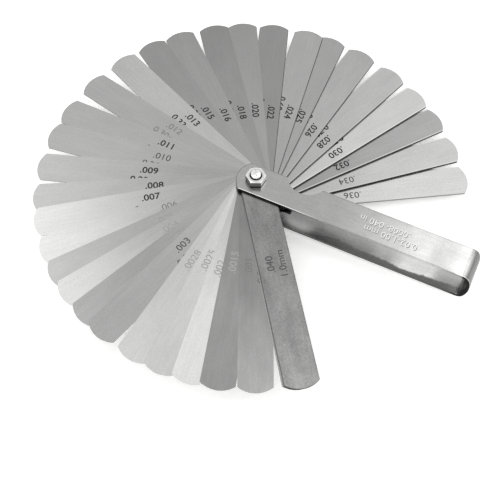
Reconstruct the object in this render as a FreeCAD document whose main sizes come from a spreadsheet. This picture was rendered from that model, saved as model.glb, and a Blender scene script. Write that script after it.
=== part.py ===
import FreeCAD, Part
import math
import os
import Sketcher

# Feeler gauge: a bent strap handle, its leaves, and the screw and nut they turn on.
# Frame: origin on the pivot axis at the underside of the screw head, +Z up the axis,
# +X from the pivot to the closed end of the handle.  Lengths in mm, angles in degrees.

doc = FreeCAD.newDocument("feeler_gauge")
dims = doc.addObject("Spreadsheet::Sheet", "dims")
V = FreeCAD.Vector
Z_UP = V(0, 0, 1)

SIZES = [
    # leaves, all one outline
    ("leaf_width", 12.7),
    ("leaf_reach", 86.6),
    ("tip_radius", 10.0),
    ("tip_corner", 0.35),
    ("leaf_gap", 0.044),
    ("pivot_play", 0.06),
    # handle
    ("sheet", 1.2),
    ("side_cover", 0.1),
    ("tip_tuck", 0.24),
    ("bend_corner", 3.2),
    ("bend_crown", 16.0),
    ("leg_end_flare", 1.75),
    ("leg_end_centre", 0.5),
    ("notch_along", 18.2),
    ("notch_radius", 8.0),
    ("notch_depth", 4.9),
    # pivot screw
    ("shank_radius", 2.0),
    ("head_radius", 3.8),
    ("head_height", 2.0),
    ("head_chamfer", 0.4),
    ("slot_width", 1.0),
    ("slot_depth", 0.9),
    ("seat_gap", 0.04),
    ("screw_proud", 1.5),
    ("dome_height", 0.6),
    # nut
    ("nut_flats", 7.0),
    ("nut_height", 3.2),
    ("nut_chamfer", 0.35),
    ("nut_sink", 0.45),
    ("nut_turn", 24.0),
    ("thread_play", 0.05),
]

# Leaves from the bottom of the stack to the top: inch size on the leaf,
# thickness, and the angle it is fanned to about the pivot.
LEAVES = [
    ("036", 0.90, 31.0),
    ("034", 0.85, 41.0),
    ("032", 0.80, 51.5),
    ("030", 0.75, 60.5),
    ("028", 0.70, 70.5),
    ("026", 0.65, 81.5),
    ("025", 0.63, 91.5),
    ("024", 0.60, 98.5),
    ("022", 0.55, 109.0),
    ("020", 0.50, 118.5),
    ("018", 0.45, 127.0),
    ("016", 0.40, 137.5),
    ("015", 0.38, 146.5),
    ("013", 0.33, 156.5),
    ("012", 0.30, 168.0),
    ("011", 0.28, 179.5),
    ("010", 0.25, 188.5),
    ("009", 0.23, 199.0),
    ("008", 0.20, 209.0),
    ("007", 0.18, 216.5),
    ("006", 0.15, 225.5),
    ("005", 0.13, 233.0),
    ("004", 0.10, 239.5),
    ("0035", 0.09, 247.0),
    ("003", 0.08, 253.5),
    ("0028", 0.07, 263.5),
    ("0025", 0.06, 271.0),
    ("002", 0.05, 278.5),
    ("0015", 0.04, 285.5),
    ("001", 0.03, 294.5),
    ("0008", 0.02, 305.0),
    ("040", 1.00, 305.5),
]
TOP_LEAF = "leaf_" + LEAVES[-1][0]
LEG_BASE = "(dims.head_height + dims.seat_gap)"
LEG_TOP = (
    "%s.Placement.Base.z + (dims.thick_%s + dims.leaf_gap + dims.sheet) * 1 mm"
    % (TOP_LEAF, LEAVES[-1][0])
)
HANDLE_WIDTH = "(dims.leaf_width + 2 * dims.side_cover)"
LEG_END_RADIUS = "(%s / 2 + dims.leg_end_flare)" % HANDLE_WIDTH


def fill_sheet():
    """Write every driving size to the sheet under its own name."""
    rows = list(SIZES)
    for mark, thickness, fan in LEAVES:
        rows.append(("thick_" + mark, thickness))
        rows.append(("fan_" + mark, fan))
    for row, (name, value) in enumerate(rows, start=1):
        dims.set("A%d" % row, name)
        dims.set("B%d" % row, str(value))
        dims.setAlias("B%d" % row, name)
    doc.recompute()
    return dict(rows)


size = fill_sheet()
handle_width = size["leaf_width"] + 2 * size["side_cover"]
leg_end_radius = handle_width / 2 + size["leg_end_flare"]


def new_body(name):
    body = doc.addObject("PartDesign::Body", name)
    body.Label = name
    return body


def new_sketch(body, name, plane):
    """Sketch on one of the body's own origin planes."""
    sketch = body.newObject("Sketcher::SketchObject", name)
    support = [f for f in body.Origin.OriginFeatures if f.Role == plane][0]
    sketch.AttachmentSupport = [(support, "")]
    sketch.MapMode = "FlatFace"
    return sketch


def drive(sketch, constraint, expression):
    """Add a dimension to a sketch and tie it to the sheet."""
    index = sketch.addConstraint(constraint)
    sketch.setExpression("Constraints[%d]" % index, expression)
    return index


def pad(body, sketch, name, length, midplane=False):
    feature = body.newObject("PartDesign::Pad", name)
    feature.Profile = sketch
    feature.Midplane = midplane
    feature.setExpression("Length", length)
    return feature


def cut_through(body, sketch, name):
    """Pocket a sketch through the whole body, both ways from its plane."""
    feature = body.newObject("PartDesign::Pocket", name)
    feature.Profile = sketch
    feature.Type = "ThroughAll"
    feature.Midplane = True
    return feature


def line(x0, y0, x1, y1):
    return Part.LineSegment(V(x0, y0, 0), V(x1, y1, 0))


def arc(cx, cy, radius, start, end):
    circle = Part.Circle(V(cx, cy, 0), Z_UP, radius)
    return Part.ArcOfCircle(circle, math.radians(start), math.radians(end))


def join(sketch, pairs):
    for first, first_end, second, second_end in pairs:
        sketch.addConstraint(
            Sketcher.Constraint("Coincident", first, first_end, second, second_end)
        )


def leaf_outline(body, name):
    """Strip with a round pivot end, a shallow arc for a tip and the pivot hole."""
    half = size["leaf_width"] / 2
    tip = size["tip_radius"]
    centre = size["leaf_reach"] - tip
    swing = math.degrees(math.asin(half / tip))
    corner = centre + math.sqrt(tip**2 - half**2)
    sketch = new_sketch(body, name, "XY_Plane")
    sketch.addGeometry(arc(0, 0, half, 90, 270), False)
    sketch.addGeometry(line(0, -half, corner, -half), False)
    sketch.addGeometry(arc(centre, 0, tip, -swing, swing), False)
    sketch.addGeometry(line(corner, half, 0, half), False)
    hole = size["shank_radius"] + size["pivot_play"]
    sketch.addGeometry(Part.Circle(V(0, 0, 0), Z_UP, hole), False)
    join(sketch, [(0, 3, -1, 1), (4, 3, -1, 1), (1, 2, 2, 1), (2, 2, 3, 1)])
    sketch.addConstraint(Sketcher.Constraint("Tangent", 0, 2, 1, 1))
    sketch.addConstraint(Sketcher.Constraint("Tangent", 3, 2, 0, 1))
    sketch.addConstraint(Sketcher.Constraint("Horizontal", 1))
    sketch.addConstraint(Sketcher.Constraint("Horizontal", 3))
    sketch.addConstraint(Sketcher.Constraint("PointOnObject", 2, 3, -1))
    drive(sketch, Sketcher.Constraint("Radius", 0, half), "dims.leaf_width / 2")
    drive(sketch, Sketcher.Constraint("Radius", 2, tip), "dims.tip_radius")
    drive(
        sketch,
        Sketcher.Constraint("DistanceX", -1, 1, 2, 3, centre),
        "dims.leaf_reach - dims.tip_radius",
    )
    drive(
        sketch,
        Sketcher.Constraint("Radius", 4, hole),
        "dims.shank_radius + dims.pivot_play",
    )
    return sketch


def round_tip(body, solid, name):
    """Break the two upright corners where the tip arc meets the sides."""
    doc.recompute()
    corners = []
    for index, edge in enumerate(solid.Shape.Edges, start=1):
        ends = [vertex.Point for vertex in edge.Vertexes]
        upright = len(ends) == 2 and (ends[0] - ends[1]).cross(Z_UP).Length < 1e-6
        if upright and ends[0].x > size["leaf_reach"] / 2:
            corners.append("Edge%d" % index)
    feature = body.newObject("PartDesign::Fillet", name)
    feature.Base = (solid, corners)
    feature.setExpression("Radius", "dims.tip_corner")
    return feature


def make_leaf(level):
    """One leaf, lying on the leaf under it and fanned about the pivot."""
    mark, thickness, fan = LEAVES[level]
    body = new_body("leaf_" + mark)
    outline = leaf_outline(body, "outline_" + mark)
    solid = pad(body, outline, "strip_" + mark, "dims.thick_" + mark)
    body.Tip = round_tip(body, solid, "corners_" + mark)
    body.Placement = FreeCAD.Placement(V(0, 0, 1), FreeCAD.Rotation(Z_UP, fan))
    if level == 0:
        height = LEG_BASE + " * 1 mm + (dims.sheet + dims.leaf_gap) * 1 mm"
    else:
        under = LEAVES[level - 1][0]
        height = (
            "leaf_%s.Placement.Base.z + (dims.thick_%s + dims.leaf_gap) * 1 mm"
            % (under, under)
        )
    body.setExpression("Placement.Base.z", height)
    body.setExpression("Placement.Rotation.Angle", "dims.fan_%s * 1 deg" % mark)
    return body


def strap_profile(body, height):
    """Side view of the bent strap: two legs, two bend corners and a low crown.

    The bend starts tip_tuck short of the leaf tips, so the folded leaves just clear it.
    """
    gauge = size["sheet"]
    corner = size["bend_corner"]
    crown = size["bend_crown"]
    drop = height / 2 - corner
    lean = math.degrees(math.asin(drop / (crown - corner)))
    corner_x = size["leaf_reach"] - size["tip_tuck"]
    crown_x = corner_x - math.sqrt((crown - corner) ** 2 - drop**2)
    low, high = corner, height - corner
    start = -leg_end_radius - 1
    sketch = new_sketch(body, "strap_profile", "XZ_Plane")
    shapes = [
        line(start, 0, corner_x, 0),
        arc(corner_x, low, corner, -90, -lean),
        arc(crown_x, height / 2, crown, -lean, lean),
        arc(corner_x, high, corner, lean, 90),
        line(corner_x, height, start, height),
        line(start, height, start, height - gauge),
        line(start, height - gauge, corner_x, height - gauge),
        arc(corner_x, high, corner - gauge, lean, 90),
        arc(crown_x, height / 2, crown - gauge, -lean, lean),
        arc(corner_x, low, corner - gauge, -90, -lean),
        line(corner_x, gauge, start, gauge),
        line(start, gauge, start, 0),
    ]
    for shape in shapes:
        sketch.addGeometry(shape, False)
    tangents = [
        (0, 2, 1, 1),
        (1, 2, 2, 1),
        (2, 2, 3, 1),
        (3, 2, 4, 1),
        (6, 2, 7, 2),
        (7, 1, 8, 2),
        (8, 1, 9, 2),
        (9, 1, 10, 1),
    ]
    for first, first_end, second, second_end in tangents:
        sketch.addConstraint(
            Sketcher.Constraint("Tangent", first, first_end, second, second_end)
        )
    join(sketch, [(4, 2, 5, 1), (5, 2, 6, 1), (10, 2, 11, 1), (11, 2, 0, 1)])
    join(sketch, [(1, 3, 9, 3), (2, 3, 8, 3), (3, 3, 7, 3)])
    for side in (0, 4, 6, 10):
        sketch.addConstraint(Sketcher.Constraint("Horizontal", side))
    for end in (5, 11):
        sketch.addConstraint(Sketcher.Constraint("Vertical", end))
    sketch.addConstraint(Sketcher.Constraint("PointOnObject", 0, 1, -1))
    sketch.addConstraint(Sketcher.Constraint("Vertical", 0, 1, 4, 2))
    sketch.addConstraint(Sketcher.Constraint("Equal", 1, 3))
    drive(
        sketch,
        Sketcher.Constraint("DistanceX", 0, 1, -1, 1, -start),
        LEG_END_RADIUS + " + 1",
    )
    drive(
        sketch,
        Sketcher.Constraint("DistanceY", 0, 1, 4, 2, height),
        "%s - %s * 1 mm" % (LEG_TOP, LEG_BASE),
    )
    drive(sketch, Sketcher.Constraint("DistanceY", 11, 2, 11, 1, gauge), "dims.sheet")
    drive(sketch, Sketcher.Constraint("Radius", 1, corner), "dims.bend_corner")
    drive(sketch, Sketcher.Constraint("Radius", 2, crown), "dims.bend_crown")
    drive(
        sketch,
        Sketcher.Constraint("DistanceX", -1, 1, 1, 3, corner_x),
        "dims.leaf_reach - dims.tip_tuck",
    )
    return sketch


def round_leg_ends(body):
    """Trim both legs past the pivot to one arc."""
    radius = leg_end_radius
    centre = size["leg_end_centre"]
    half = handle_width / 2 + 1
    far = centre - radius - 4
    reach = math.degrees(math.asin(half / radius))
    meet = centre - radius * math.cos(math.radians(reach))
    sketch = new_sketch(body, "leg_end_trim", "XY_Plane")
    sketch.addGeometry(arc(centre, 0, radius, 180 - reach, 180 + reach), False)
    sketch.addGeometry(line(meet, -half, far, -half), False)
    sketch.addGeometry(line(far, -half, far, half), False)
    sketch.addGeometry(line(far, half, meet, half), False)
    join(sketch, [(0, 2, 1, 1), (1, 2, 2, 1), (2, 2, 3, 1), (3, 2, 0, 1)])
    sketch.addConstraint(Sketcher.Constraint("Horizontal", 1))
    sketch.addConstraint(Sketcher.Constraint("Horizontal", 3))
    sketch.addConstraint(Sketcher.Constraint("PointOnObject", 0, 3, -1))
    sketch.addConstraint(Sketcher.Constraint("Symmetric", 2, 1, 2, 2, -1))
    drive(sketch, Sketcher.Constraint("Radius", 0, radius), LEG_END_RADIUS)
    drive(
        sketch,
        Sketcher.Constraint("DistanceX", -1, 1, 0, 3, centre),
        "dims.leg_end_centre",
    )
    drive(
        sketch,
        Sketcher.Constraint("DistanceY", 2, 1, 2, 2, 2 * half),
        HANDLE_WIDTH + " + 2",
    )
    drive(
        sketch,
        Sketcher.Constraint("DistanceX", 2, 1, -1, 1, -far),
        LEG_END_RADIUS + " - dims.leg_end_centre + 4",
    )
    return cut_through(body, sketch, "leg_ends")


def thumb_notch(body):
    """Round bite out of one long side of both legs, to push the leaves out by."""
    radius = size["notch_radius"]
    along = size["notch_along"]
    across = handle_width / 2 - size["notch_depth"] + radius
    sketch = new_sketch(body, "notch_circle", "XY_Plane")
    sketch.addGeometry(Part.Circle(V(along, across, 0), Z_UP, radius), False)
    drive(sketch, Sketcher.Constraint("Radius", 0, radius), "dims.notch_radius")
    drive(
        sketch,
        Sketcher.Constraint("DistanceX", -1, 1, 0, 3, along),
        "dims.notch_along",
    )
    drive(
        sketch,
        Sketcher.Constraint("DistanceY", -1, 1, 0, 3, across),
        HANDLE_WIDTH + " / 2 - dims.notch_depth + dims.notch_radius",
    )
    return cut_through(body, sketch, "thumb_notch")


def pivot_holes(body):
    """Running clearance for the screw through both legs."""
    radius = size["shank_radius"] + size["pivot_play"]
    sketch = new_sketch(body, "pivot_circle", "XY_Plane")
    sketch.addGeometry(Part.Circle(V(0, 0, 0), Z_UP, radius), False)
    join(sketch, [(0, 3, -1, 1)])
    drive(
        sketch,
        Sketcher.Constraint("Radius", 0, radius),
        "dims.shank_radius + dims.pivot_play",
    )
    return cut_through(body, sketch, "pivot_holes")


def make_handle():
    """Strap bent into a U, open along both sides so the leaves fold in."""
    body = new_body("handle")
    thickness = sum(leaf[1] for leaf in LEAVES)
    gaps = (len(LEAVES) + 1) * size["leaf_gap"]
    height = thickness + gaps + 2 * size["sheet"]
    profile = strap_profile(body, height)
    pad(body, profile, "strap", HANDLE_WIDTH, midplane=True)
    round_leg_ends(body)
    thumb_notch(body)
    body.Tip = pivot_holes(body)
    body.Placement = FreeCAD.Placement(V(0, 0, 1), FreeCAD.Rotation())
    body.setExpression("Placement.Base.z", LEG_BASE + " * 1 mm")
    return body


def screw_profile(body, length):
    """Half section of the screw, head down, with a domed end."""
    head = size["head_radius"]
    thick = size["head_height"]
    shank = size["shank_radius"]
    break_edge = size["head_chamfer"]
    rise = size["dome_height"]
    dome = (shank**2 + rise**2) / (2 * rise)
    swing = math.degrees(math.asin(shank / dome))
    sketch = new_sketch(body, "screw_profile", "XZ_Plane")
    sketch.addGeometry(line(0, 0, head - break_edge, 0), False)
    sketch.addGeometry(line(head - break_edge, 0, head, break_edge), False)
    sketch.addGeometry(line(head, break_edge, head, thick), False)
    sketch.addGeometry(line(head, thick, shank, thick), False)
    sketch.addGeometry(line(shank, thick, shank, length - rise), False)
    sketch.addGeometry(arc(0, length - dome, dome, 90 - swing, 90), False)
    sketch.addGeometry(line(0, length, 0, 0), False)
    join(sketch, [(n, 2, n + 1, 1) for n in range(4)])
    join(sketch, [(4, 2, 5, 1), (5, 2, 6, 1), (6, 2, 0, 1), (0, 1, -1, 1)])
    for flat in (0, 3):
        sketch.addConstraint(Sketcher.Constraint("Horizontal", flat))
    for upright in (2, 4, 6):
        sketch.addConstraint(Sketcher.Constraint("Vertical", upright))
    sketch.addConstraint(Sketcher.Constraint("PointOnObject", 5, 3, -2))
    drive(
        sketch,
        Sketcher.Constraint("DistanceX", 0, 1, 0, 2, head - break_edge),
        "dims.head_radius - dims.head_chamfer",
    )
    drive(
        sketch,
        Sketcher.Constraint("DistanceX", -1, 1, 2, 1, head),
        "dims.head_radius",
    )
    drive(
        sketch,
        Sketcher.Constraint("DistanceY", -1, 1, 2, 1, break_edge),
        "dims.head_chamfer",
    )
    drive(
        sketch,
        Sketcher.Constraint("DistanceY", -1, 1, 3, 1, thick),
        "dims.head_height",
    )
    drive(
        sketch,
        Sketcher.Constraint("DistanceX", -1, 1, 4, 1, shank),
        "dims.shank_radius",
    )
    drive(
        sketch,
        Sketcher.Constraint("DistanceY", -1, 1, 5, 2, length),
        LEG_TOP + " + (dims.seat_gap + dims.nut_height + dims.screw_proud) * 1 mm",
    )
    drive(
        sketch,
        Sketcher.Constraint("DistanceY", 5, 1, 5, 2, rise),
        "dims.dome_height",
    )
    return sketch


def screwdriver_slot(body):
    """Slot across the underside of the head, along X."""
    half_long = size["head_radius"] + 1
    half_wide = size["slot_width"] / 2
    sketch = new_sketch(body, "slot_outline", "XY_Plane")
    sketch.addGeometry(line(-half_long, -half_wide, half_long, -half_wide), False)
    sketch.addGeometry(line(half_long, -half_wide, half_long, half_wide), False)
    sketch.addGeometry(line(half_long, half_wide, -half_long, half_wide), False)
    sketch.addGeometry(line(-half_long, half_wide, -half_long, -half_wide), False)
    join(sketch, [(0, 2, 1, 1), (1, 2, 2, 1), (2, 2, 3, 1), (3, 2, 0, 1)])
    for flat in (0, 2):
        sketch.addConstraint(Sketcher.Constraint("Horizontal", flat))
    for upright in (1, 3):
        sketch.addConstraint(Sketcher.Constraint("Vertical", upright))
    sketch.addConstraint(Sketcher.Constraint("Symmetric", 0, 1, 2, 1, -1, 1))
    drive(
        sketch,
        Sketcher.Constraint("DistanceX", 0, 1, 0, 2, 2 * half_long),
        "(dims.head_radius + 1) * 2",
    )
    drive(
        sketch,
        Sketcher.Constraint("DistanceY", 1, 1, 1, 2, 2 * half_wide),
        "dims.slot_width",
    )
    feature = body.newObject("PartDesign::Pocket", "driver_slot")
    feature.Profile = sketch
    feature.Reversed = True
    feature.setExpression("Length", "dims.slot_depth")
    return feature


def make_screw():
    """Slotted screw, head under the bottom leg, end standing out of the nut."""
    body = new_body("pivot_screw")
    thickness = sum(leaf[1] for leaf in LEAVES)
    gaps = (len(LEAVES) + 1) * size["leaf_gap"] + 2 * size["seat_gap"]
    legs = 2 * size["sheet"]
    ends = size["head_height"] + size["nut_height"] + size["screw_proud"]
    profile = screw_profile(body, thickness + gaps + legs + ends)
    turned = body.newObject("PartDesign::Revolution", "turned")
    turned.Profile = profile
    turned.ReferenceAxis = (profile, ["V_Axis"])
    turned.Angle = 360
    doc.recompute()
    body.Tip = screwdriver_slot(body)
    body.Placement = FreeCAD.Placement(V(0, 0, 0), FreeCAD.Rotation())
    return body


def cone(name, low, high, height, rise):
    """Cone piece of the nut: radii, height and foot height as expressions."""
    shape = doc.addObject("Part::Cone", name)
    shape.setExpression("Radius1", low)
    shape.setExpression("Radius2", high)
    shape.setExpression("Height", height)
    shape.setExpression("Placement.Base.z", rise)
    return shape


def make_nut():
    """Hexagon nut: corners chamfered at both faces, bore countersunk at both ends."""
    corners = "dims.nut_flats / sqrt(3)"
    face = corners + " - dims.nut_chamfer * sqrt(3)"
    bore = "(dims.shank_radius + dims.thread_play)"
    hexagon = doc.addObject("Part::Prism", "nut_hexagon")
    hexagon.Polygon = 6
    hexagon.setExpression("Circumradius", corners)
    hexagon.setExpression("Height", "dims.nut_height")
    crown_foot = "dims.nut_height - dims.nut_chamfer"
    waist = doc.addObject("Part::Cylinder", "nut_waist")
    waist.setExpression("Radius", corners)
    waist.setExpression("Height", "dims.nut_height - 2 * dims.nut_chamfer")
    waist.setExpression("Placement.Base.z", "dims.nut_chamfer")
    turned = doc.addObject("Part::MultiFuse", "nut_turned")
    turned.Shapes = [
        cone("nut_foot", face, corners, "dims.nut_chamfer", "0"),
        waist,
        cone("nut_crown", corners, face, "dims.nut_chamfer", crown_foot),
    ]
    outside = doc.addObject("Part::MultiCommon", "nut_outside")
    outside.Shapes = [hexagon, turned]
    drill = doc.addObject("Part::Cylinder", "nut_drill")
    drill.setExpression("Radius", bore)
    drill.setExpression("Height", "dims.nut_height")
    wide = bore + " + dims.nut_sink"
    sink_foot = "dims.nut_height - dims.nut_sink"
    inside = doc.addObject("Part::MultiFuse", "nut_inside")
    inside.Shapes = [
        cone("nut_sink_low", wide, bore, "dims.nut_sink", "0"),
        drill,
        cone("nut_sink_high", bore, wide, "dims.nut_sink", sink_foot),
    ]
    nut = doc.addObject("Part::Cut", "nut")
    nut.Base = outside
    nut.Tool = inside
    nut.Label = "nut"
    turn = FreeCAD.Rotation(Z_UP, size["nut_turn"])
    nut.Placement = FreeCAD.Placement(V(0, 0, 1), turn)
    nut.setExpression("Placement.Base.z", LEG_TOP + " + dims.seat_gap * 1 mm")
    nut.setExpression("Placement.Rotation.Angle", "dims.nut_turn * 1 deg")
    return nut


def check_document():
    """Stop before writing anything if a feature failed."""
    for item in doc.Objects:
        if "Invalid" in item.State or "Error" in item.State:
            raise RuntimeError("feature failed: " + item.Name)


def write(parts):
    """Check every solid, then write one file for each."""
    for part in parts:
        shape = part.Shape
        if shape.isNull() or not shape.isValid() or len(shape.Solids) != 1:
            raise RuntimeError("bad solid: " + part.Label)
    os.makedirs("parts", exist_ok=True)
    for part in parts:
        part.Shape.exportStep("parts/%s.step" % part.Label)


leaves = [make_leaf(level) for level in range(len(LEAVES))]
doc.recompute()
assembly = [make_handle()] + leaves + [make_screw(), make_nut()]
doc.recompute()
check_document()
write(assembly)
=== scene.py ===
import math

import bmesh
import bpy
from mathutils import Matrix, Vector


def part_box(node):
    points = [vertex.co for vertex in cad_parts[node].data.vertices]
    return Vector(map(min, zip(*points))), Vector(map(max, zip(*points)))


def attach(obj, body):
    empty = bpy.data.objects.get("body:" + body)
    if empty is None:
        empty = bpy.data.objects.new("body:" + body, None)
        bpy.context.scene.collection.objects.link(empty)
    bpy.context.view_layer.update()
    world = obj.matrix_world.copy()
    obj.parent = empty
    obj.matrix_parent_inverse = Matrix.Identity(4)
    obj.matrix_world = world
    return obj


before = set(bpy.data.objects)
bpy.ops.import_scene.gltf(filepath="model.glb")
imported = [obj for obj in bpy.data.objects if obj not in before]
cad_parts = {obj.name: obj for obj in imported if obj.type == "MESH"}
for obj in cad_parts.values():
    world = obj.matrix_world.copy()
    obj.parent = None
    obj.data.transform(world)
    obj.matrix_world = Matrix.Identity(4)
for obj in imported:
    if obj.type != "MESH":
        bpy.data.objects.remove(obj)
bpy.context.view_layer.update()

MM = 0.001
Z_UP = Vector((0, 0, 1))

handle_low, handle_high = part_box("handle")
nut_low, nut_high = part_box("nut")
screw_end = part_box("pivot_screw")[1][2]

# ------------------------------------------------------------ leaves and their marks
# Leaves from the bottom of the stack to the top: name, fan angle in degrees, metric
# mark, middle of the marks along the leaf in mm, ink, and the tone of the ground steel
# by the pivot, half way out and at the tip, which is painted reflection and shade.
LEAVES = [
    ("036", 31.0, "0.90mm", 39.0, "mid", 0.40, 0.71, 0.60),
    ("034", 41.0, "0.85mm", 38.0, "mid", 0.45, 0.57, 0.57),
    ("032", 51.5, "0.80mm", 38.5, "dark", 0.31, 0.40, 0.41),
    ("030", 60.5, "0.75mm", 39.0, "dark", 0.53, 0.60, 0.58),
    ("028", 70.5, "0.70mm", 38.0, "dark", 0.42, 0.48, 0.48),
    ("026", 81.5, "0.65mm", 38.5, "dark", 0.40, 0.44, 0.40),
    ("025", 91.5, "0.63mm", 42.0, "dark", 0.37, 0.37, 0.36),
    ("024", 98.5, "0.60mm", 41.5, "dark", 0.37, 0.40, 0.38),
    ("022", 109.0, "0.55mm", 39.0, "dark", 0.29, 0.28, 0.28),
    ("020", 118.5, "0.50mm", 39.0, "dark", 0.35, 0.34, 0.30),
    ("018", 127.0, "0.45mm", 38.0, "dark", 0.31, 0.30, 0.26),
    ("016", 137.5, "0.40mm", 38.0, "dark", 0.34, 0.34, 0.30),
    ("015", 146.5, "0.38mm", 41.5, "dark", 0.34, 0.31, 0.29),
    ("013", 156.5, "0.33mm", 41.5, "dark", 0.46, 0.48, 0.46),
    ("012", 168.0, "0.30mm", 43.0, "dim", 0.39, 0.40, 0.40),
    ("011", 179.5, "0.28mm", 41.0, "dark", 0.40, 0.42, 0.43),
    ("010", 188.5, "0.25mm", 39.5, "mid", 0.38, 0.44, 0.46),
    ("009", 199.0, "0.23mm", 42.5, "dark", 0.35, 0.45, 0.55),
    ("008", 209.0, "0.20mm", 39.5, "dark", 0.36, 0.45, 0.60),
    ("007", 216.5, "0.18mm", 41.0, "dark", 0.39, 0.52, 0.85),
    ("006", 225.5, "0.15mm", 35.0, "dim", 0.35, 0.55, 0.86),
    ("005", 233.0, "0.13mm", 38.0, "faint", 0.37, 0.39, 0.58),
    ("004", 239.5, "0.10mm", 38.0, "faint", 0.36, 0.45, 0.78),
    ("0035", 247.0, "0.09mm", 38.0, "faint", 0.41, 0.32, 0.46),
    ("003", 253.5, "0.08mm", 39.0, "mid", 0.44, 0.39, 0.40),
    ("0028", 263.5, "0.07mm", 41.5, "faint", 0.56, 0.51, 0.64),
    ("0025", 271.0, "0.06mm", 38.5, "faint", 0.62, 0.60, 0.57),
    ("002", 278.5, "0.05mm", 40.0, "faint", 0.50, 0.72, 0.72),
    ("0015", 285.5, "0.04mm", 36.0, "pale", 0.26, 0.32, 0.31),
    ("001", 294.5, "0.03mm", 37.0, "dim", 0.24, 0.27, 0.44),
    ("0008", 305.0, "0.02mm", 38.0, "mid", 0.40, 0.40, 0.40),
    ("040", 305.5, "1.0mm", 37.0, "mid", 0.25, 0.27, 0.35),
]
# painted light along the long edges of a leaf: a painted highlight, and painted shade
# where it is below nought
PAINTED_EDGE_LIGHT = {"034": 0.12, "032": 0.30, "030": 0.22, "028": 0.08, "026": 0.05, "040": -0.18}
# how strong the cloudy patches are, where they are stronger than on other leaves
CLOUDING = {"040": 0.45, "001": 0.20, "0015": 0.15}
# leaves, counted from the bottom, whose near edge is painted dark as shade
SHADED_EDGE_LEVELS = range(1, 9)
# each leaf takes its grain from another part of the pattern, so far from the last
GRAIN_STEP = 0.05
# rounding of a leaf's edges: the most, the share of a thinner leaf's thickness, and
# the thickness at and below which edges stay sharp
LEAF_EDGE = 0.09 * MM
EDGE_SHARE = 0.28
SHARP_LEAF = 0.07 * MM

# tone of the etched figures, where the acid bit most and least
INKS = {
    "dark": (0.015, 0.04),
    "mid": (0.05, 0.10),
    "dim": (0.15, 0.23),
    "faint": (0.25, 0.37),
    "pale": (0.32, 0.38),
}
FIGURE_HEIGHT = 2.9 * MM
FIGURE_STRETCH = 1.08
BASELINE = -1.3 * MM
LINE_PITCH = 4.65 * MM
INK_PROUD = 0.012 * MM
# height of the figures in a text of size one, and how much their strokes are
# thickened at that size
UNIT_HEIGHT = 0.73
HEAVY, LIGHT, THIN = 0.018, 0.004, -0.01

# ------------------------------------------------------------ handle
# thickness of the strip, radius of the bend's crown, and width of the rim over which
# the painted highlight of the top reaches
SHEET = 1.2 * MM
CROWN = 16.0 * MM
HIGHLIGHT_RIM = 0.06 * MM
# Tones along the handle, with painted highlights, reflections and shade. Each place is
# the distance from the pivot over 100 mm.
# painted highlights on the outer faces
OUTSIDE_HIGHLIGHT_TONES = [
    (0.10, 0.375),
    (0.32, 0.385),
    (0.46, 0.47),
    (0.60, 0.62),
    (0.67, 0.77),
    (0.70, 0.80),
    (0.76, 0.66),
    (0.80, 0.69),
    (0.84, 0.80),
]
BEND_SHADE = [
    (0.856, 1.0),
    (0.868, 0.72),
    (0.877, 0.38),
    (0.885, 0.25),
    (0.893, 0.35),
    (0.902, 0.58),
]
# painted shade: a dark line along the near edge of the top
NEAR_EDGE_SHADE = [(0.22, 0.0), (0.38, 0.40), (0.60, 0.75), (0.76, 0.75), (0.82, 0.0)]
# painted reflection on the inner faces, in the lit part
LIT_TONES = [
    (0.18, 0.23),
    (0.27, 0.24),
    (0.35, 0.32),
    (0.47, 0.36),
    (0.56, 0.47),
    (0.65, 0.70),
    (0.75, 0.66),
    (0.80, 0.42),
    (0.86, 0.40),
]
# painted reflection on the inner faces, in the dim part
DIM_TONES = [
    (0.15, 0.27),
    (0.35, 0.33),
    (0.46, 0.35),
    (0.56, 0.29),
    (0.65, 0.20),
    (0.75, 0.21),
    (0.82, 0.30),
    (0.86, 0.42),
]
# how far below the middle line the dim part of the painted reflection inside begins, in
# cm
DIM_BORDER = [
    (0.14, 0.45),
    (0.25, 0.52),
    (0.36, 0.31),
    (0.46, 0.38),
    (0.56, 0.40),
    (0.65, 0.48),
    (0.75, 0.40),
    (0.84, 0.34),
]
# painted highlight and shade on the upper part of the cut edges
UPPER_EDGE_TONES = [
    (0.15, 0.03),
    (0.22, 0.29),
    (0.45, 0.31),
    (0.56, 0.38),
    (0.70, 0.56),
    (0.76, 0.50),
    (0.82, 0.32),
    (0.86, 0.28),
    (0.872, 0.05),
]
# rows of the stamp: words, base line across the handle and middle along it, in mm
STAMP_ROWS = (("0.02-1.00 mm", -0.9, 56.5), (".0008-.040 in", 2.8, 53.0))
STAMP_HEIGHT = 2.8 * MM


# ------------------------------------------------------------ shader node helpers
def feed(tree, socket, value):
    """Set a socket to a plain number or link it to another socket."""
    if isinstance(value, (int, float, tuple)):
        socket.default_value = value
    else:
        tree.links.new(value, socket)


def maths(tree, operation, *values, clamp=False):
    node = tree.nodes.new("ShaderNodeMath")
    node.operation = operation
    node.use_clamp = clamp
    for socket, value in zip(node.inputs, values):
        feed(tree, socket, value)
    return node.outputs[0]


def product(tree, first, *others):
    for other in others:
        first = maths(tree, "MULTIPLY", first, other)
    return first


def vary(tree, pattern, amount, middle=1.0):
    """A value that a pattern moves up and down about the middle."""
    return maths(tree, "MULTIPLY_ADD", pattern, amount, middle)


def outside_of(tree, mask):
    """Nought inside a mask and one outside it."""
    return maths(tree, "SUBTRACT", 1.0, mask)


def step(tree, value, low, high, start=0.0, end=1.0):
    """Ease from start to end as the value goes from low to high."""
    node = tree.nodes.new("ShaderNodeMapRange")
    node.interpolation_type = "SMOOTHSTEP"
    for socket, number in zip(node.inputs, (value, low, high, start, end)):
        feed(tree, socket, number)
    return node.outputs["Result"]


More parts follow.
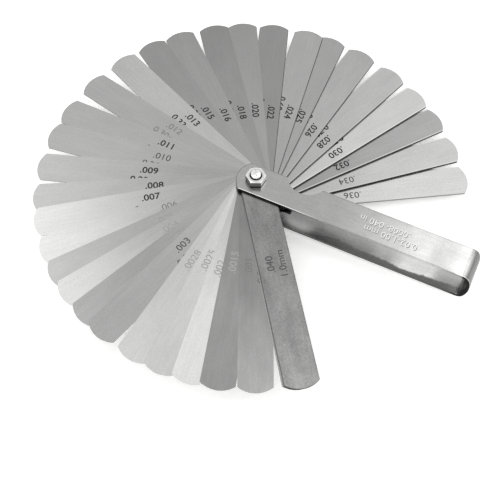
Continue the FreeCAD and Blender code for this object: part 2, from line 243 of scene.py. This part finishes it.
def blend(tree, amount, first, second):
    """A value going from first to second with the amount."""
    node = tree.nodes.new("ShaderNodeMix")
    feed(tree, node.inputs[0], amount)
    feed(tree, node.inputs[2], first)
    feed(tree, node.inputs[3], second)
    return node.outputs[0]


def hypotenuse(tree, first, second):
    squares = [maths(tree, "POWER", side, 2.0) for side in (first, second)]
    return maths(tree, "SQRT", maths(tree, "ADD", *squares))


def grey(tree, tone):
    """A grey a little warmer than neutral."""
    node = tree.nodes.new("ShaderNodeCombineColor")
    feed(tree, node.inputs["Red"], tone)
    feed(tree, node.inputs["Green"], tone)
    feed(tree, node.inputs["Blue"], maths(tree, "MULTIPLY", tone, 0.993))
    return node.outputs["Color"]


def stretched(tree, vector, scale):
    """The vector scaled unevenly, to draw a pattern out along one way."""
    node = tree.nodes.new("ShaderNodeVectorMath")
    node.operation = "MULTIPLY"
    feed(tree, node.inputs[0], vector)
    node.inputs[1].default_value = scale
    return node.outputs[0]


def noise(tree, vector, scale, detail=2.0, rough=0.5):
    """Noise about zero, from -1 to 1."""
    node = tree.nodes.new("ShaderNodeTexNoise")
    feed(tree, node.inputs["Vector"], vector)
    feed(tree, node.inputs["Scale"], scale)
    node.inputs["Detail"].default_value = detail
    node.inputs["Roughness"].default_value = rough
    return maths(tree, "MULTIPLY_ADD", node.outputs["Fac"], 2.0, -1.0)


def tones_along(tree, value, stops):
    """Tones at places along a value: three make one soft bow, more are eased."""
    node = tree.nodes.new("ShaderNodeValToRGB")
    band = node.color_ramp
    band.interpolation = "B_SPLINE" if len(stops) < 4 else "EASE"
    while len(band.elements) < len(stops):
        band.elements.new(0.5)
    for element, (place, tone) in zip(band.elements, stops):
        element.position = place
        element.color = (tone, tone, tone, 1.0)
    feed(tree, node.inputs["Fac"], value)
    return node.outputs["Color"]


def split_vector(tree, vector):
    node = tree.nodes.new("ShaderNodeSeparateXYZ")
    feed(tree, node.inputs[0], vector)
    return node.outputs


def facing(tree):
    """The way the surface faces, as its X, Y and Z."""
    source = tree.nodes.new("ShaderNodeNewGeometry")
    return split_vector(tree, source.outputs["Normal"])


# ------------------------------------------------------------ effects that are shared
def new_group(name, inputs, outputs):
    tree = bpy.data.node_groups.new(name, "ShaderNodeTree")
    for label, kind, value in inputs:
        socket = tree.interface.new_socket(
            name=label, in_out="INPUT", socket_type="NodeSocket" + kind
        )
        if value is not None:
            socket.default_value = value
    for label in outputs:
        tree.interface.new_socket(
            name=label, in_out="OUTPUT", socket_type="NodeSocketFloat"
        )
    entry = tree.nodes.new("NodeGroupInput")
    leave = tree.nodes.new("NodeGroupOutput")
    return tree, entry.outputs, leave.inputs


def ground_steel_group():
    """Ground strip: fine lines along it, cloudy patches and a fine grain."""
    tree, given, out = new_group(
        "ground_steel",
        [
            ("Along", "Vector", None),
            ("Tone", "Float", 0.4),
            ("Clouding", "Float", 0.08),
            ("Lines", "Float", 0.07),
            ("Grain", "Float", 0.12),
        ],
        ["Tone", "Roughness", "Relief"],
    )
    along = given["Along"]
    fine = noise(tree, stretched(tree, along, (0.02, 1.0, 1.0)), 9000.0)
    broad = noise(tree, stretched(tree, along, (0.04, 1.0, 1.0)), 1600.0, 3.0)
    relief = vary(tree, fine, 0.5, broad)
    cloud = noise(tree, stretched(tree, along, (0.45, 1.0, 1.0)), 170.0, 4.0, 0.6)
    grain = noise(tree, along, 1500.0, 3.0, 0.6)
    change = vary(tree, relief, given["Lines"])
    change = vary(tree, cloud, given["Clouding"], change)
    change = vary(tree, grain, given["Grain"], change)
    tone = maths(tree, "MULTIPLY", given["Tone"], change, clamp=True)
    feed(tree, out["Tone"], tone)
    rough = vary(tree, cloud, 0.05, 0.24)
    feed(tree, out["Roughness"], vary(tree, relief, 0.04, rough))
    feed(tree, out["Relief"], relief)
    return tree


def shaded_wall_lit_rim_group():
    """Cut edges of a strip: walls painted dark as shade under a thin painted highlight
    on the rim.
    """
    tree, given, out = new_group(
        "shaded_wall_lit_rim",
        [("Face Tone", "Float", 0.4), ("Wall", "Float", 0.1), ("Rim", "Float", 0.9)],
        ["Tone"],
    )
    level = maths(tree, "ABSOLUTE", facing(tree)["Z"])
    rimmed = blend(
        tree, step(tree, level, 0.80, 0.98), given["Rim"], given["Face Tone"]
    )
    tone = blend(tree, step(tree, level, 0.2, 0.6), given["Wall"], rimmed)
    feed(tree, out["Tone"], tone)
    return tree


def turned_wear_group():
    """Turned metal: speckled with wear, with fine rings round the axis."""
    tree, given, out = new_group(
        "turned_wear",
        [
            ("Along", "Vector", None),
            ("Tone", "Float", 0.8),
            ("Speckle", "Float", 900.0),
            ("Wear", "Float", 0.12),
            ("Dullness", "Float", 0.20),
        ],
        ["Tone", "Roughness", "Relief"],
    )
    wear = noise(tree, given["Along"], given["Speckle"], 3.0)
    change = vary(tree, wear, given["Wear"])
    tone = maths(tree, "MULTIPLY", given["Tone"], change, clamp=True)
    feed(tree, out["Tone"], tone)
    feed(tree, out["Roughness"], vary(tree, wear, 0.08, given["Dullness"]))
    rings = noise(tree, stretched(tree, given["Along"], (0.1, 0.1, 1.0)), 6000.0, 1.0)
    feed(tree, out["Relief"], rings)
    return tree


def mottle_group():
    """Metal that acid or a stamp left uneven, between a low and a high tone."""
    tree, given, out = new_group(
        "mottle",
        [
            ("Along", "Vector", None),
            ("Fineness", "Float", 2500.0),
            ("Spread", "Float", 0.5),
            ("Low", "Float", 0.1),
            ("High", "Float", 0.2),
            ("Dullness", "Float", 0.6),
            ("Change", "Float", 0.1),
        ],
        ["Tone", "Roughness"],
    )
    ripple = noise(tree, given["Along"], given["Fineness"])
    spread = given["Spread"]
    below = maths(tree, "MULTIPLY", spread, -1.0)
    tone = step(tree, ripple, below, spread, given["Low"], given["High"])
    feed(tree, out["Tone"], tone)
    feed(tree, out["Roughness"], vary(tree, ripple, given["Change"], given["Dullness"]))
    return tree


GROUND_STEEL = ground_steel_group()
SHADED_WALL_LIT_RIM = shaded_wall_lit_rim_group()
TURNED_WEAR = turned_wear_group()
MOTTLE = mottle_group()


def place_group(tree, group, **values):
    node = tree.nodes.new("ShaderNodeGroup")
    node.node_tree = group
    for label, value in values.items():
        feed(tree, node.inputs[label.replace("_", " ")], value)
    return node.outputs


# ------------------------------------------------------------ finishes
def blank_material(name, metal=1.0):
    material = bpy.data.materials.new(name)
    material.use_nodes = True
    shader = material.node_tree.nodes["Principled BSDF"]
    shader.inputs["Metallic"].default_value = metal
    return material, material.node_tree, shader.inputs


def object_place(tree, turn=0.0, shift=(0.0, 0.0, 0.0)):
    """Object coordinates, turned so that X runs along the piece."""
    source = tree.nodes.new("ShaderNodeTexCoord")
    mapping = tree.nodes.new("ShaderNodeMapping")
    mapping.inputs["Rotation"].default_value = (0.0, 0.0, -math.radians(turn))
    mapping.inputs["Location"].default_value = shift
    feed(tree, mapping.inputs["Vector"], source.outputs["Object"])
    place = mapping.outputs["Vector"]
    return place, split_vector(tree, place)


def reach_along(tree, axes):
    """Distance along the piece over 100 mm."""
    return maths(tree, "MULTIPLY", axes["X"], 10.0)


def use_surface(tree, shader, surface, tone, relief=0.0):
    """Send a group's tone and roughness, and its relief if any, to the shader."""
    feed(tree, shader["Base Color"], grey(tree, tone))
    feed(tree, shader["Roughness"], surface["Roughness"])
    if relief > 0:
        bump = tree.nodes.new("ShaderNodeBump")
        bump.inputs["Strength"].default_value = relief
        bump.inputs["Distance"].default_value = 0.01 * MM
        feed(tree, bump.inputs["Height"], surface["Relief"])
        feed(tree, shader["Normal"], bump.outputs["Normal"])


def leaf_steel(level):
    """Ground spring steel, its lines running along the leaf, with painted reflection,
    highlight and shade in its tone.
    """
    name, fan, _, _, _, root, middle, tip = LEAVES[level]
    material, tree, shader = blank_material("leaf_steel_" + name)
    place, axes = object_place(tree, fan, (0.0, 0.0, level * GRAIN_STEP))
    reach = reach_along(tree, axes)
    # tone along the leaf: painted reflection and shade
    tone = tones_along(tree, reach, [(0.22, root), (0.50, middle), (0.80, tip)])
    # painted highlight along the long edges; below nought it is painted shade
    edge_light = PAINTED_EDGE_LIGHT.get(name, 0.0)
    inner, outer = (5.6, 6.0) if edge_light > 0 else (6.0, 6.3)
    across = maths(tree, "ABSOLUTE", axes["Y"])
    painted_rim_light = step(tree, across, inner * MM, outer * MM, 0.0, edge_light)
    tone = maths(tree, "ADD", tone, painted_rim_light)
    # the walls of the edges are painted dark as shade
    wall = 0.015
    # painted shade along the near edge
    if level in SHADED_EDGE_LEVELS:
        near = maths(tree, "MULTIPLY", axes["Y"], -1.0)
        tone = product(tree, tone, step(tree, near, 6.1 * MM, 6.25 * MM, 1.0, 0.10))
    if level == 0:
        # painted shade: the lowest leaf is painted near black where it comes out from
        # under the stack
        shade = step(tree, reach, 0.15, 0.18, 0.03, 1.0)
        tone = product(tree, tone, shade)
        wall = product(tree, shade, 0.22)
    clouding = CLOUDING.get(name, 0.08)
    grain = 0.38 if name == "040" else 0.11
    steel = place_group(
        tree, GROUND_STEEL, Along=place, Tone=tone, Clouding=clouding, Grain=grain
    )
    edged = place_group(
        tree, SHADED_WALL_LIT_RIM, Face_Tone=steel["Tone"], Wall=wall, Rim=0.85
    )
    use_surface(tree, shader, steel, edged["Tone"], 0.2)
    return material


def strap_outside(tree, place, axes, reach, wander):
    """Outer faces: satin by the pivot, with painted highlights towards the bend, and
    painted highlight and shade along the edges.
    """
    tone = tones_along(tree, wander, OUTSIDE_HIGHLIGHT_TONES)
    tone = product(tree, tone, tones_along(tree, reach, BEND_SHADE))
    cloud = noise(tree, stretched(tree, place, (0.7, 1.0, 1.0)), 190.0, 3.0, 0.55)
    cloud = product(tree, cloud, step(tree, reach, 0.40, 0.70, 0.06, 0.20))
    # painted shade along the far edge
    far_side = step(tree, axes["Y"], 5.7 * MM, 6.3 * MM, 1.0, 0.84)
    tone = product(tree, tone, maths(tree, "ADD", cloud, 1.0), far_side)
    # painted highlight along the near edge, by the pivot and by the bend
    near_edge = step(tree, axes["Y"], -6.35 * MM, -6.05 * MM, 1.0, 0.0)
    by_pivot = step(tree, reach, 0.16, 0.34, 0.6, 0.0)
    by_bend = step(tree, reach, 0.830, 0.850, 0.0, 0.5)
    for painted_rim_light in (by_pivot, by_bend):
        tone = maths(tree, "ADD", tone, product(tree, near_edge, painted_rim_light))
    # painted shade: a dark line along the near edge
    painted_edge_shade = product(tree, near_edge, tones_along(tree, reach, NEAR_EDGE_SHADE))
    tone = product(tree, tone, outside_of(tree, painted_edge_shade))
    # painted shade: a dim outline round the far side of the pivot end
    beside = maths(tree, "SUBTRACT", axes["X"], 0.5 * MM)
    outline = product(
        tree,
        step(tree, hypotenuse(tree, beside, axes["Y"]), 7.8 * MM, 8.0 * MM),
        step(tree, axes["X"], 4.5 * MM, 6.0 * MM, 1.0, 0.0),
        step(tree, axes["Y"], -5.5 * MM, -4.5 * MM, 0.0, 0.45),
    )
    return product(tree, tone, outside_of(tree, outline))


def strap_inside(tree, place, axes, reach, wander):
    """Inner faces: a painted reflection, a dim lower half with a wavy border under a
    lit part, and painted shade near black in the bend and by the pivot.
    """
    wave = noise(tree, stretched(tree, place, (1.0, 0.4, 1.0)), 600.0, 6.0, 0.7)
    shore = vary(tree, tones_along(tree, reach, DIM_BORDER), 10.0 * MM, axes["Y"])
    shore = vary(tree, wave, 1.1 * MM, shore)
    blotch = noise(tree, stretched(tree, place, (0.5, 1.0, 1.0)), 420.0, 4.0, 0.6)
    lit = product(
        tree,
        tones_along(tree, wander, LIT_TONES),
        step(tree, axes["Y"], -4.5 * MM, 0.5 * MM, 1.6, 1.0),
        vary(tree, blotch, 0.12),
    )
    dim = tones_along(tree, reach, DIM_TONES)
    band = blend(tree, step(tree, shore, -0.5 * MM, 0.5 * MM), dim, lit)
    # painted shade on the inner face by the pivot
    pivot_shade = product(
        tree,
        step(tree, axes["X"], 15.2 * MM, 16.0 * MM, 1.0, 0.0),
        step(tree, axes["Y"], -0.9 * MM, -0.4 * MM),
    )
    band = blend(tree, pivot_shade, band, 0.01)
    # painted shade inside the bend
    return blend(tree, step(tree, axes["X"], 86.8 * MM, 87.0 * MM), band, 0.16)


def strap_within(tree, axes, rise):
    """A mask of the inner faces of the two legs and the bend."""
    clear_half = (handle_high[2] - handle_low[2]) / 2 - SHEET
    height = maths(tree, "ABSOLUTE", rise)
    within = step(
        tree, height, clear_half + 0.02 * MM, clear_half + 0.08 * MM, 1.0, 0.0
    )
    along = maths(tree, "SUBTRACT", axes["X"], handle_high[0] - CROWN)
    spread = hypotenuse(tree, along, rise)
    beyond = product(
        tree,
        step(tree, axes["X"], 80.0 * MM, 81.0 * MM),
        step(tree, spread, CROWN - 0.7 * MM, CROWN - 0.4 * MM),
    )
    return product(tree, within, outside_of(tree, beyond))


def strap_edges(tree, axes, reach, rise, tone):
    """The cut edges: painted highlight on their upper part, also where the top's
    painted highlight reaches over the rim, and painted shade below and at the bend.
    """
    bend_rim = product(
        tree,
        step(tree, reach, 0.830, 0.840, 0.0, HIGHLIGHT_RIM),
        step(tree, rise, 4.0 * MM, 6.0 * MM),
    )
    rim = maths(tree, "ADD", step(tree, reach, 0.20, 0.35, HIGHLIGHT_RIM, 0.0), bend_rim)
    across = maths(tree, "SUBTRACT", maths(tree, "ABSOLUTE", axes["Y"]), rim)
    side = step(tree, across, 6.30 * MM, 6.38 * MM)
    upper = tones_along(tree, reach, UPPER_EDGE_TONES)
    # painted shade on the lower half of the walls, and on the whole wall at the bend
    wall = blend(tree, step(tree, rise, -2.0 * MM, 2.0 * MM), 0.11, upper)
    wall = blend(tree, step(tree, reach, 0.860, 0.866), wall, 0.02)
    tone = blend(tree, side, tone, wall)
    # painted shade at the foot of the bend's walls
    bend_foot = product(
        tree,
        side,
        step(tree, rise, -7.0 * MM, -6.0 * MM, 1.0, 0.0),
        step(tree, reach, 0.80, 0.86),
    )
    return product(tree, tone, vary(tree, bend_foot, -0.8))


def strap_steel():
    """Handle strip: satin by the pivot, painted highlights towards the bend, painted
    reflection and shade inside.
    """
    material, tree, shader = blank_material("strap_steel")
    place, axes = object_place(tree)
    reach = reach_along(tree, axes)
    drift = noise(tree, stretched(tree, place, (1.0, 0.6, 1.0)), 110.0, 2.0)
    wander = vary(tree, drift, 0.02, reach)
    middle = (handle_low[2] + handle_high[2]) / 2
    rise = maths(tree, "SUBTRACT", axes["Z"], middle)
    outside = strap_outside(tree, place, axes, reach, wander)
    inside = strap_inside(tree, place, axes, reach, wander)
    tone = blend(tree, strap_within(tree, axes, rise), outside, inside)
    tone = strap_edges(tree, axes, reach, rise, tone)
    steel = place_group(
        tree, GROUND_STEEL, Along=place, Tone=tone, Clouding=0.10, Grain=0.14
    )
    shader["Specular Tint"].default_value = (0.55, 0.55, 0.55, 1.0)
    use_surface(tree, shader, steel, steel["Tone"], 0.2)
    return material


def nut_plate():
    """Bright plating: walls painted dark as shade with a painted highlight on one
    facet, and painted shade at the foot and in the recess round the screw end.
    """
    recess, bright = 2.3 * MM, 0.78
    tall = nut_high[2] - nut_low[2]
    material, tree, shader = blank_material("nut_plate")
    place, axes = object_place(tree)
    height = maths(tree, "SUBTRACT", axes["Z"], nut_low[2])
    radius = hypotenuse(tree, axes["X"], axes["Y"])
    # painted shade on the walls, darkest at the foot, with a painted highlight on the
    # facet facing X
    wall = product(
        tree,
        step(tree, height, 0.25 * MM, 0.9 * MM, 0.02, 1.0),
        step(tree, facing(tree)["X"], 0.80, 0.95, 0.15, 0.95),
    )
    crown = step(tree, height, tall - 0.55 * MM, tall - 0.25 * MM)
    tone = blend(tree, crown, wall, bright)
    # painted shade round the recess and in it
    ring = step(tree, radius, recess + 0.2 * MM, 3.6 * MM, 0.78, 1.0)
    hollow = step(tree, radius, recess, recess + 0.25 * MM, 1.0, 0.0)
    tone = blend(tree, hollow, product(tree, tone, ring), 0.04)
    plate = place_group(tree, TURNED_WEAR, Along=place, Tone=tone)
    use_surface(tree, shader, plate, plate["Tone"], 0.2)
    return material


def screw_plate():
    """Bright turned steel, dulled on the shank where the thread is."""
    material, tree, shader = blank_material("screw_plate")
    place, axes = object_place(tree)
    crown = step(
        tree, axes["Z"], screw_end - 1.5 * MM, screw_end - 1.1 * MM, 0.25, 0.76
    )
    head = step(tree, axes["Z"], 2.0 * MM, 2.2 * MM, 0.72, 0.25)
    tone = maths(tree, "MAXIMUM", crown, head)
    plate = place_group(
        tree,
        TURNED_WEAR,
        Along=place,
        Tone=tone,
        Speckle=1100.0,
        Wear=0.90,
        Dullness=0.18,
    )
    use_surface(tree, shader, plate, plate["Tone"], 0.3)
    return material


def etched_ink(name, low, high):
    """Etched figures, a little uneven where the acid bit less."""
    material, tree, shader = blank_material("etched_" + name, 0.3)
    place, _ = object_place(tree)
    bite = place_group(tree, MOTTLE, Along=place, Low=low, High=high)
    use_surface(tree, shader, bite, bite["Tone"])
    shader["Specular IOR Level"].default_value = 0.2
    return material


def pressed_steel(name, low, high):
    """Walls of the pressed figures: one side catches the light, one is in shade."""
    material, tree, shader = blank_material(name)
    place, _ = object_place(tree)
    ripple = place_group(
        tree,
        MOTTLE,
        Along=place,
        Fineness=1500.0,
        Spread=0.6,
        Low=low,
        High=high,
        Dullness=0.34,
        Change=0.06,
    )
    use_surface(tree, shader, ripple, ripple["Tone"])
    return material


# ------------------------------------------------------------ finishing the metal
def add_to_scene(name, data):
    item = bpy.data.objects.new(name, data)
    bpy.context.scene.collection.objects.link(item)
    return item


def dress(node, material, edge):
    """Give a metal part its finish and a softened edge."""
    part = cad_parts[node]
    part.data.materials.clear()
    part.data.materials.append(material)
    weld = part.modifiers.new("weld", "WELD")
    weld.merge_threshold = 0.0005 * MM
    if edge > 0:
        bevel = part.modifiers.new("edge", "BEVEL")
        bevel.width = edge
        bevel.segments = 2
        bevel.limit_method = "ANGLE"
        bevel.angle_limit = math.radians(40)
        bevel.harden_normals = True


def thicken(mesh, amount):
    """Move the walls of figures out, or in, so that they read heavier or lighter."""
    shape = bmesh.new()
    shape.from_mesh(mesh)
    bmesh.ops.remove_doubles(shape, verts=shape.verts, dist=0.00005)
    bmesh.ops.recalc_face_normals(shape, faces=shape.faces)
    moves = []
    for corner in shape.verts:
        walls = [face.normal for face in corner.link_faces if abs(face.normal.z) < 0.5]
        way = sum(walls, Vector()).normalized()
        # a sharp corner is held back, so that it doesn't grow into a spike
        moves.append(way * amount / max(way.dot(walls[0]), 0.6))
    for corner, move in zip(shape.verts, moves):
        corner.co += move
    shape.to_mesh(mesh)
    shape.free()


def lettering(words, height, stretch, heavier):
    """Figures as a mesh one unit thick, starting at the origin, reading along X."""
    curve = bpy.data.curves.new("words", "FONT")
    curve.body = words
    curve.size = 1.0
    curve.extrude = 0.5
    curve.resolution_u = 4
    holder = add_to_scene("words", curve)
    bpy.context.view_layer.update()
    mesh = bpy.data.meshes.new_from_object(holder)
    bpy.data.objects.remove(holder)
    thicken(mesh, heavier)
    scale = height / UNIT_HEIGHT
    mesh.transform(Matrix.Diagonal((scale * stretch, scale, 1.0, 1.0)))
    start = min(v.co.x for v in mesh.vertices)
    mesh.transform(Matrix.Translation((-start, 0, 0)))
    return mesh, max(v.co.x for v in mesh.vertices)


def lay_lettering(mesh, name, start, direction, surface, proud, finish, body):
    """Lay figures on a level surface, reading along a direction.

    They reach from half of proud below the surface to proud above it.
    """
    across = Z_UP.cross(direction)
    place = Matrix.Identity(4)
    for row in range(3):
        place[row][0] = direction[row]
        place[row][1] = across[row]
        place[row][2] = Z_UP[row] * proud * 1.5
    place.translation = (start[0], start[1], surface + proud * 0.25)
    mesh.transform(place)
    mesh.materials.clear()
    mesh.materials.append(finish)
    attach(add_to_scene(name, mesh), body)


def leaf_marks(level, inks):
    """Inch and metric figures on a leaf, read with the tip to the left."""
    name, fan, metric, centre, ink = LEAVES[level][:5]
    body = "leaf_" + name
    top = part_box(body)[1][2]
    out = Vector((math.cos(math.radians(fan)), math.sin(math.radians(fan)), 0))
    side = Z_UP.cross(out)
    base, pitch = BASELINE, LINE_PITCH
    if name == "040":
        # on the top leaf the rows are closer
        base, pitch = BASELINE + 0.9 * MM, 4.4 * MM
    heavier = HEAVY if ink == "dark" else LIGHT
    # on the two lowest leaves the metric mark is nearer the pivot
    inset = 4.0 * MM if level < 2 else 0.0
    for row, words in enumerate(("." + name, metric)):
        mesh, width = lettering(words, FIGURE_HEIGHT, FIGURE_STRETCH, heavier)
        outer = centre * MM + width / 2 - row * inset
        start = out * outer + side * (base + row * pitch)
        label = "mark_%s_%d" % (name, row + 1)
        lay_lettering(mesh, label, start, -out, top, INK_PROUD, inks[ink], body)


def dress_leaves():
    inks = {name: etched_ink(name, *tones) for name, tones in INKS.items()}
    for level, leaf in enumerate(LEAVES):
        body = "leaf_" + leaf[0]
        low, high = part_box(body)
        thickness = high[2] - low[2]
        edge = min(LEAF_EDGE, thickness * EDGE_SHARE)
        dress(body, leaf_steel(level), edge if thickness > SHARP_LEAF else 0.0)
        leaf_marks(level, inks)


def range_stamp():
    """The range of the gauge, pressed into the top leg, read from the bend."""
    top = handle_high[2]
    way = Vector((-1, 0, 0))
    lit = pressed_steel("pressed_lit", 0.78, 0.92)
    shade = pressed_steel("pressed_shade", 0.20, 0.32)
    # each layer's finish, its shift towards the near right and its height, in mm
    layers = (("lit", lit, 0.0, 0.05), ("shade", shade, 0.28, 0.03))
    for row, (words, base, centre) in enumerate(STAMP_ROWS):
        for label, finish, shift, proud in layers:
            mesh, width = lettering(words, STAMP_HEIGHT, 1.0, THIN)
            along = centre * MM + width / 2 + shift * MM
            start = Vector((along, (base - shift) * MM, 0))
            name = "stamp_%d_%s" % (row + 1, label)
            lay_lettering(mesh, name, start, way, top, proud * MM, finish, "handle")


# ------------------------------------------------------------ studio
def studio_floor():
    shape = bmesh.new()
    bmesh.ops.create_grid(shape, x_segments=1, y_segments=1, size=20.0)
    mesh = bpy.data.meshes.new("floor")
    shape.to_mesh(mesh)
    shape.free()
    material, tree, shader = blank_material("paper_floor", 0.0)
    place, _ = object_place(tree)
    tint = step(tree, noise(tree, place, 6.0, 1.0), -1.0, 1.0, 0.91, 0.94)
    feed(tree, shader["Base Color"], grey(tree, tint))
    shader["Roughness"].default_value = 0.9
    shader["Specular IOR Level"].default_value = 0.1
    shader["Emission Color"].default_value = (1.0, 1.0, 1.0, 1.0)
    shader["Emission Strength"].default_value = 0.27
    mesh.materials.append(material)
    floor = add_to_scene("floor", mesh)
    floor.location.z = -0.2 * MM


def soft_light(name, place, wide, power):
    lamp = bpy.data.lights.new(name, "AREA")
    lamp.shape = "DISK"
    lamp.size = wide
    lamp.energy = power
    holder = add_to_scene(name, lamp)
    holder.location = place
    holder.rotation_euler = (-Vector(place)).to_track_quat("-Z", "Y").to_euler()


def studio_world():
    """Even white surround, a little dimmer towards the horizon."""
    world = bpy.data.worlds.new("studio")
    world.use_nodes = True
    tree = world.node_tree
    source = tree.nodes.new("ShaderNodeTexCoord")
    height = split_vector(tree, source.outputs["Generated"])["Z"]
    back = tree.nodes["Background"]
    back.inputs["Color"].default_value = (1.0, 1.0, 1.0, 1.0)
    feed(tree, back.inputs["Strength"], step(tree, height, 0.0, 0.7, 0.93, 1.0))
    bpy.context.scene.world = world


def studio_camera():
    """Looks down at the fan from the front, the handle running off to the right."""
    aim = Vector((7.51, -21.38, 2.04)) * MM
    turn, rise, lean = (math.radians(angle) for angle in (23.79, 60.98, 1.05))
    away = 367.4 * MM
    level = Vector((math.cos(turn), math.sin(turn), 0))
    ahead = Z_UP.cross(level)
    forward = ahead * math.cos(rise) - Z_UP * math.sin(rise)
    above = level.cross(forward)
    right = level * math.cos(lean) + above * math.sin(lean)
    above = above * math.cos(lean) - level * math.sin(lean)
    lens = bpy.data.cameras.new("camera")
    lens.sensor_width = 36.0
    lens.lens = 67.66
    lens.clip_start = 0.01
    lens.clip_end = 60.0
    holder = add_to_scene("camera", lens)
    place = Matrix.Identity(4)
    for row in range(3):
        place[row][0] = right[row]
        place[row][1] = above[row]
        place[row][2] = -forward[row]
    place.translation = aim - forward * away
    holder.matrix_world = place
    bpy.context.scene.camera = holder
    return level, ahead


side, ahead = studio_camera()
bpy.context.scene.view_settings.view_transform = "Standard"
studio_world()
studio_floor()
soft_light("key", side * -0.5 - ahead * 0.6 + Z_UP * 1.3, 1.6, 5.0)
soft_light("fill", side * 0.9 + ahead * 0.3 + Z_UP * 1.1, 1.4, 2.5)

dress("handle", strap_steel(), 0.12 * MM)
dress("nut", nut_plate(), 0.1 * MM)
dress("pivot_screw", screw_plate(), 0.08 * MM)
dress_leaves()
range_stamp()
